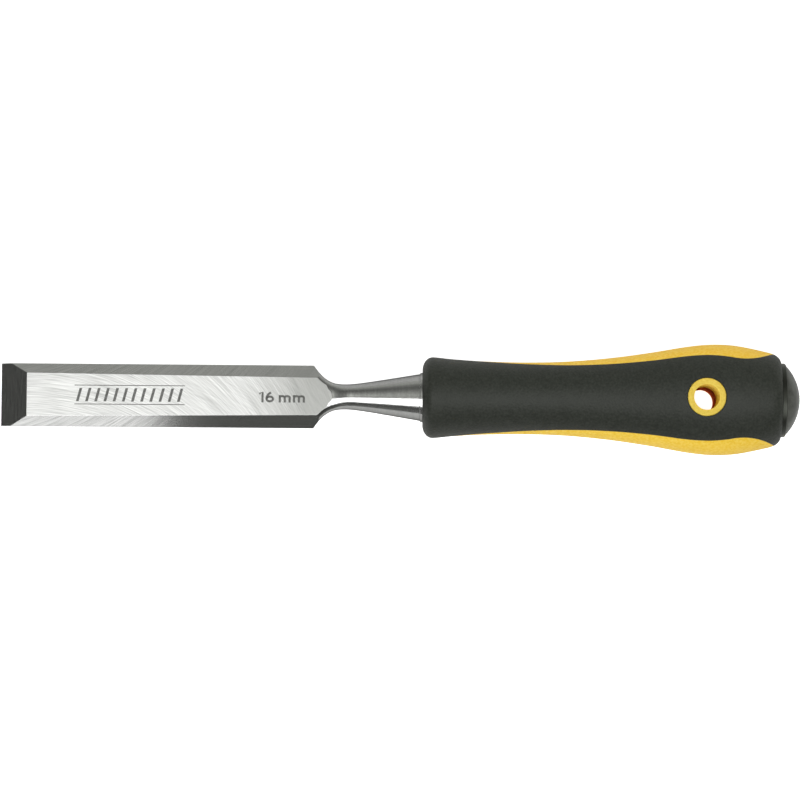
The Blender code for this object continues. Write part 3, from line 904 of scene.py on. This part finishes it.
def make_plate(name, outlines, material):
    """Very thin closed plates on the blade's face, from flat outlines of (x, y) points."""
    bm = bmesh.new()
    for outline in outlines:
        face = bm.faces.new([bm.verts.new(on_face(x, y, INK_HEIGHT)) for x, y in outline])
        extruded = bmesh.ops.extrude_face_region(bm, geom=[face])
        moved = [item for item in extruded["geom"] if isinstance(item, bmesh.types.BMVert)]
        bmesh.ops.translate(bm, verts=moved, vec=(0, 0, -INK_DEPTH))
    plate = place(name, finish_mesh(name, bm, smooth=False))
    plate.data.materials.append(material)
    return plate


def stroke(points, width):
    """Outline of a pen stroke of one width along a line of (x, y) points."""
    left, right = [], []
    for i, point in enumerate(points):
        before = Vector(points[max(i - 1, 0)])
        after = Vector(points[min(i + 1, len(points) - 1)])
        side = (after - before).normalized().orthogonal() * (width / 2)
        left.append(tuple(Vector(point) + side))
        right.append(tuple(Vector(point) - side))
    return left + right[::-1]


def arc(centre, radius_x, radius_y, start, end, count):
    """Points of a stretch of an ellipse, between two angles in degrees."""
    points = []
    for angle in spread(math.radians(start), math.radians(end), count):
        points.append((centre[0] + radius_x * math.cos(angle), centre[1] + radius_y * math.sin(angle)))
    return points


def figure_one(x, y):
    stem_x = x + 0.0008
    nose = (x, y + FIGURE_HEIGHT * 0.74)
    top = (stem_x, y + FIGURE_HEIGHT - SIZE_STROKE / 2)
    return [stroke([nose, top, (stem_x, y)], SIZE_STROKE)]


def figure_six(x, y):
    bowl = arc((x + 0.00105, y + 0.00088), 0.00082, 0.00088 - SIZE_STROKE / 2, 0, 360, 33)
    stem = arc((x + 0.0019, y + 0.0010), 0.00165, 0.00185 - SIZE_STROKE / 2, 108, 185, 13)
    return [stroke(line, SIZE_STROKE) for line in (bowl[:17], bowl[16:], stem)]


def letter_m(x, y):
    strokes = [stroke([(x, y), (x, y + LETTER_HEIGHT)], SIZE_STROKE)]
    radius = HUMP_WIDTH / 2
    for start in (x, x + HUMP_WIDTH):
        middle = (start + radius, y + LETTER_HEIGHT - radius)
        crown = arc(middle, radius, radius - SIZE_STROKE / 2, 180, 0, 15)
        strokes.append(stroke(crown + [(start + HUMP_WIDTH, y)], SIZE_STROKE))
    return strokes


def make_size_mark(material):
    """The blade's nominal width, 16 mm."""
    six_x = SIZE_MARK_X + FIGURE_STEP
    first_m_x = six_x + LETTER_STEP
    strokes = figure_one(SIZE_MARK_X, SIZE_MARK_Y) + figure_six(six_x, SIZE_MARK_Y)
    strokes += letter_m(first_m_x, SIZE_MARK_Y) + letter_m(first_m_x + LETTER_STEP, SIZE_MARK_Y)
    return make_plate("size_mark", strokes, material)


def make_etched_band(material):
    """A plain etched band of slanted bars between two rules."""
    start_x, end_x = BAND_X
    half = BAND_HALF_HEIGHT
    inner, outer = BAR_SLANT - BAR_HALF_WIDTH, BAR_SLANT + BAR_HALF_WIDTH
    outlines = []
    for i in range(BAND_BARS):
        x = start_x + (end_x - start_x) * (i + 0.5) / BAND_BARS
        outlines.append([(x - outer, -half), (x - inner, -half), (x + outer, half), (x + inner, half)])
    for y in (half + RULE_GAP, -half - RULE_GAP):
        low, high = y - RULE_HALF_WIDTH, y + RULE_HALF_WIDTH
        outlines.append([(start_x, low), (end_x, low), (end_x, high), (start_x, high)])
    return make_plate("etched_band", outlines, material)


# ---------------------------------------------------------------- stage, light and camera

def make_floor(lit_piece):
    """A luminous white table, whose glow reaches one piece and leaves hardly any shadow."""
    bm = bmesh.new()
    bmesh.ops.create_grid(bm, x_segments=1, y_segments=1, size=FLOOR_SIZE)
    mesh = finish_mesh("floor", bm)
    floor = bpy.data.objects.new("floor", mesh)
    floor.location.z = FLOOR_Z
    bpy.context.scene.collection.objects.link(floor)
    nodes = Nodes("pale_floor")
    cloud = nodes.noise(nodes.position, scale=3.0)
    colour = nodes.mix(cloud, (0.84, 0.84, 0.84), (0.86, 0.86, 0.86))
    nodes.shader.inputs["Emission Color"].default_value = (1.0, 1.0, 1.0, 1.0)
    nodes.shader.inputs["Emission Strength"].default_value = FLOOR_GLOW
    mesh.materials.append(nodes.finish(colour, nodes.between(cloud, 0.0, 1.0, 0.75, 0.85)))
    link_light(floor, [floor, lit_piece], 'INCLUDE')


def add_softbox(name, centre, target, size, power, spin=0.0):
    """A rectangular soft light that faces a target, turned about its own axis by spin degrees."""
    light = bpy.data.lights.new(name, 'AREA')
    light.shape = 'RECTANGLE'
    light.size, light.size_y = size
    light.energy = power
    lamp = bpy.data.objects.new(name, light)
    lamp.location = centre
    lamp.rotation_euler = (Vector(target) - Vector(centre)).to_track_quat('-Z', 'Y').to_euler()
    lamp.rotation_euler.rotate_axis('Z', math.radians(spin))
    lamp.visible_camera = False
    bpy.context.scene.collection.objects.link(lamp)
    return lamp


def make_world():
    """Studio walls: a glow overhead, a dark band and lighter walls, with two darker sides."""
    world = bpy.data.worlds.new("studio")
    bpy.context.scene.world = world
    world.use_nodes = True
    tree = world.node_tree
    direction = tree.nodes.new("ShaderNodeTexCoord").outputs["Generated"]
    split = tree.nodes.new("ShaderNodeSeparateXYZ")
    tree.links.new(direction, split.inputs[0])
    ramp = tree.nodes.new("ShaderNodeValToRGB")
    tree.links.new(split.outputs["Z"], ramp.inputs[0])
    ramp.color_ramp.elements[0].position = SKY[0][0]
    ramp.color_ramp.elements[1].position = SKY[-1][0]
    for height, _ in SKY[1:-1]:
        ramp.color_ramp.elements.new(height)
    for element, (_, grey) in zip(ramp.color_ramp.elements, SKY):
        element.color = (*(grey * channel for channel in SKY_TINT), 1.0)
    strength = tree.nodes.new("ShaderNodeMath")
    strength.operation = 'MULTIPLY'
    for socket, (axis, start, end, dim) in enumerate(SKY_SIDES):
        side = tree.nodes.new("ShaderNodeMapRange")
        tree.links.new(split.outputs[axis], side.inputs["Value"])
        side.inputs["From Min"].default_value = start
        side.inputs["From Max"].default_value = end
        side.inputs["To Min"].default_value = dim
        side.inputs["To Max"].default_value = 1.0
        tree.links.new(side.outputs[0], strength.inputs[socket])
    background = tree.nodes["Background"]
    tree.links.new(ramp.outputs[0], background.inputs["Color"])
    tree.links.new(strength.outputs[0], background.inputs["Strength"])


def link_light(lamp, pieces, state):
    """Let a light shine on some pieces only ('INCLUDE') or on everything else ('EXCLUDE')."""
    receivers = bpy.data.collections.new(lamp.name + "_receivers")
    for piece in pieces:
        receivers.objects.link(piece)
    lamp.light_linking.receiver_collection = receivers
    for entry in receivers.collection_objects:
        entry.light_linking.link_state = state


def make_lights(yellow_pieces, grip, cap):
    """A key for the blade and the floor, one for the rest of the handle and one for the grip, and fills."""
    key = add_softbox(
        "key_softbox", centre=(-0.42, -0.785, 1.399), target=(-0.2, 0, 0), size=(1.85, 1.10),
        power=27.5, spin=20)
    link_light(key, [grip, cap, *yellow_pieces], 'EXCLUDE')
    over_handle = add_softbox(
        "handle_softbox", centre=(-0.42, -0.746, 1.404), target=(-0.2, 0, 0), size=(1.85, 1.36), power=23.4)
    link_light(over_handle, [cap, *yellow_pieces], 'INCLUDE')
    over_grip = add_softbox(
        "grip_softbox", centre=(0.05, -0.33, 1.55), target=(0.05, 0, 0), size=(1.6, 0.9), power=13.5)
    link_light(over_grip, [grip], 'INCLUDE')
    add_softbox(
        "low_card", centre=(-0.122, -0.16, 0.038), target=(-0.122, 0, 0.006), size=(0.10, 0.055),
        power=0.030)
    fill = add_softbox(
        "fill_softbox", centre=(0.15, 0.95, 0.45), target=(0.07, 0, 0), size=(0.6, 0.5), power=3.3)
    fill.data.color = (1.0, 0.84, 0.72)
    link_light(fill, yellow_pieces, 'INCLUDE')


def make_camera():
    """Camera almost square on to the tool's bevelled face."""
    camera_data = bpy.data.cameras.new("camera")
    camera_data.sensor_width = SENSOR_WIDTH
    camera_data.lens = SENSOR_WIDTH * CAMERA_DISTANCE / VIEW_WIDTH
    camera = bpy.data.objects.new("camera", camera_data)
    bpy.context.scene.collection.objects.link(camera)
    bpy.context.scene.camera = camera
    aim = Matrix.Translation((DOME_APEX_X / 2 - AIM_OFFSET[0], -AIM_OFFSET[1], 0))
    tilt = Matrix.Rotation(CAMERA_TILT, 4, 'X')
    roll = Matrix.Rotation(CAMERA_ROLL, 4, 'Z')
    back_off = Matrix.Translation((0, 0, CAMERA_DISTANCE))
    camera.matrix_world = TOOL @ aim @ tilt @ roll @ back_off


def hand_over(piece, slot, *nodes):
    """Settle a piece in the frame's own axes, attach it to the root body and hide the CAD parts that it
    replaces.
    """
    piece.data.transform(piece.matrix_world)
    piece.matrix_world = Matrix()
    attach(piece, "root")
    if nodes:
        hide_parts(*nodes)


make_camera()
yellow_plastic = yellow(
    "yellow_plastic", dull=(0.89, 0.565, 0.036), bright=(0.95, 0.655, 0.086), shine=0.22)
# The sleeve's hang hole gets painted light near its mouth and a painted red-brown shade lower down.
pale_yellow = yellow(
    "yellow_sleeve", dull=(0.75, 0.545, 0.085), bright=(0.81, 0.615, 0.120), shine=0.0,
    bore_light_and_shade=((0.98, 0.77, 0.155), (0.50, 0.115, 0.040)))
ink = mark_ink()
hand_over(make_blade(), "ground_steel", "blade")
core, sleeve = make_core(yellow_plastic), make_sleeve(pale_yellow)
hand_over(core, "yellow_plastic", "handle_core")
hand_over(sleeve, "yellow_plastic", "handle_core")
grip = make_grip(rubber())
hand_over(grip, "grey_rubber", "soft_grip")
cap = make_cap(cap_steel())
hand_over(cap, "dark_steel", "strike_cap")
hand_over(make_size_mark(ink), "ground_steel")
hand_over(make_etched_band(ink), "ground_steel")
make_floor(sleeve)
make_world()
make_lights([core, sleeve], grip, cap)
bpy.context.scene.view_settings.view_transform = 'Standard'
